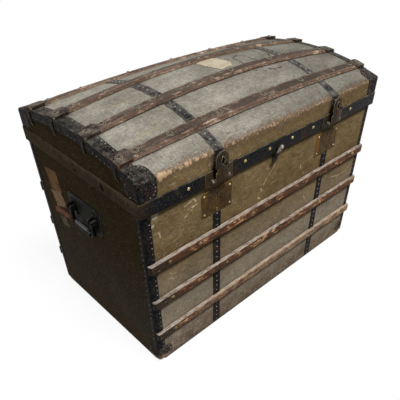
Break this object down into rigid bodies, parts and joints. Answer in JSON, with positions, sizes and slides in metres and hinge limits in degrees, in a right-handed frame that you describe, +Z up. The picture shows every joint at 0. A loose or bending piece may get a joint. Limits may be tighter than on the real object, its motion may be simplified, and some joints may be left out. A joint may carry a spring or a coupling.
{
  "type": "dome top trunk",
  "caption": "Canvas-covered travelling trunk with a hinged domed lid, wooden slats, iron corner bindings, hasp locks, a hook catch and drop handles.",
  "frame": {"origin": "middle of the underside of the bottom board, on the floor", "axes": "+X along the trunk to its right end, -Y to the front with the locks, +Z up"},
  "size_m": [0.942, 0.5479, 0.6737],
  "materials": {
    "canvas": "aged painted canvas, worn at the edges",
    "timber": "plain softwood boards",
    "slat_wood": "dark stained hardwood, worn pale on the edges",
    "black_iron": "black japanned iron, scuffed",
    "aged_iron": "brass-washed steel, tarnished",
    "steel": "plain steel",
    "aged_brass": "tarnished brass sheet",
    "brass_nails": "domed brass heads",
    "zinc_plate": "dull zinc plate",
    "fibre_strip": "worn vulcanised fibre strip"
  },
  "bodies": {
    "base": {"back_board": "timber", "back_slat_bottom": "slat_wood", "back_slat_middle": "slat_wood", "back_slat_top": "slat_wood", "back_straps": "black_iron", "bail_pins": "black_iron", "base_canvas": "canvas", "base_nails": "brass_nails", "bottom_board": "timber", "bottom_corner_caps": "black_iron", "catch_stud": "aged_iron", "corner_binding_back_left": "black_iron", "corner_binding_back_right": "black_iron", "corner_binding_front_left": "black_iron", "corner_binding_front_right": "black_iron", "front_board": "timber", "front_slat_bottom": "slat_wood", "front_slat_middle": "slat_wood", "front_slat_top": "slat_wood", "front_straps": "black_iron", "handle_ears_left": "black_iron", "handle_ears_right": "black_iron", "handle_plates": "zinc_plate", "hinge_leaves_base": "aged_iron", "hinge_pins": "aged_iron", "left_board": "timber", "lock_cases": "steel", "lock_plate_left": "aged_brass", "lock_plate_right": "aged_brass", "right_board": "timber"},
    "lid": {"band_nails": "brass_nails", "catch_plate": "aged_iron", "dome_board": "timber", "dome_nails": "brass_nails", "dome_slat_back_inner": "slat_wood", "dome_slat_back_outer": "slat_wood", "dome_slat_front_inner": "slat_wood", "dome_slat_front_outer": "slat_wood", "dome_straps": "black_iron", "end_bindings": "black_iron", "hasp_leaves": "aged_iron", "hasp_pins": "aged_iron", "hinge_leaves_lid": "aged_iron", "lid_back_rail": "timber", "lid_band_back": "black_iron", "lid_band_ends": "fibre_strip", "lid_band_front": "black_iron", "lid_canvas": "canvas", "lid_corner_caps": "black_iron", "lid_front_rail": "timber", "lid_left_end": "timber", "lid_right_end": "timber", "slat_end_clamps": "black_iron"},
    "hasp_left": {"hasp_left": "aged_iron"},
    "hasp_right": {"hasp_right": "aged_iron"},
    "bail_left": {"bail_left": "black_iron"},
    "bail_right": {"bail_right": "black_iron"},
    "catch_hook": {"catch_hook": "aged_iron"},
    "lock_bolt_left": {"lock_bolt_left": "steel"},
    "lock_bolt_right": {"lock_bolt_right": "steel"}
  },
  "joints": [
    {"name": "lid_hinge", "type": "hinge", "parent": "base", "child": "lid", "pos_m": [0, 0.2543, 0.51225], "axis": [-1, 0, 0], "range_deg": [0, 100]},
    {"name": "hasp_hinge_left", "type": "hinge", "parent": "lid", "child": "hasp_left", "pos_m": [-0.228, -0.2638, 0.525], "axis": [1, 0, 0], "range_deg": [0, 180]},
    {"name": "bail_swing_left", "type": "hinge", "parent": "base", "child": "bail_left", "pos_m": [-0.4615, 0.01, 0.393], "axis": [0, 1, 0], "range_deg": [0, 110]},
    {"name": "lock_bolt_slide_left", "type": "slide", "parent": "base", "child": "lock_bolt_left", "axis": [-1, 0, 0], "range_m": [0, 0.009]},
    {"name": "hasp_hinge_right", "type": "hinge", "parent": "lid", "child": "hasp_right", "pos_m": [0.228, -0.2638, 0.525], "axis": [1, 0, 0], "range_deg": [0, 180]},
    {"name": "bail_swing_right", "type": "hinge", "parent": "base", "child": "bail_right", "pos_m": [0.4615, 0.01, 0.393], "axis": [0, -1, 0], "range_deg": [0, 110]},
    {"name": "lock_bolt_slide_right", "type": "slide", "parent": "base", "child": "lock_bolt_right", "axis": [-1, 0, 0], "range_m": [0, 0.009]},
    {"name": "catch_hook_pivot", "type": "hinge", "parent": "lid", "child": "catch_hook", "pos_m": [-0.002, -0.2608, 0.5245], "axis": [0, 1, 0], "range_deg": [0, 100]}
  ]
}
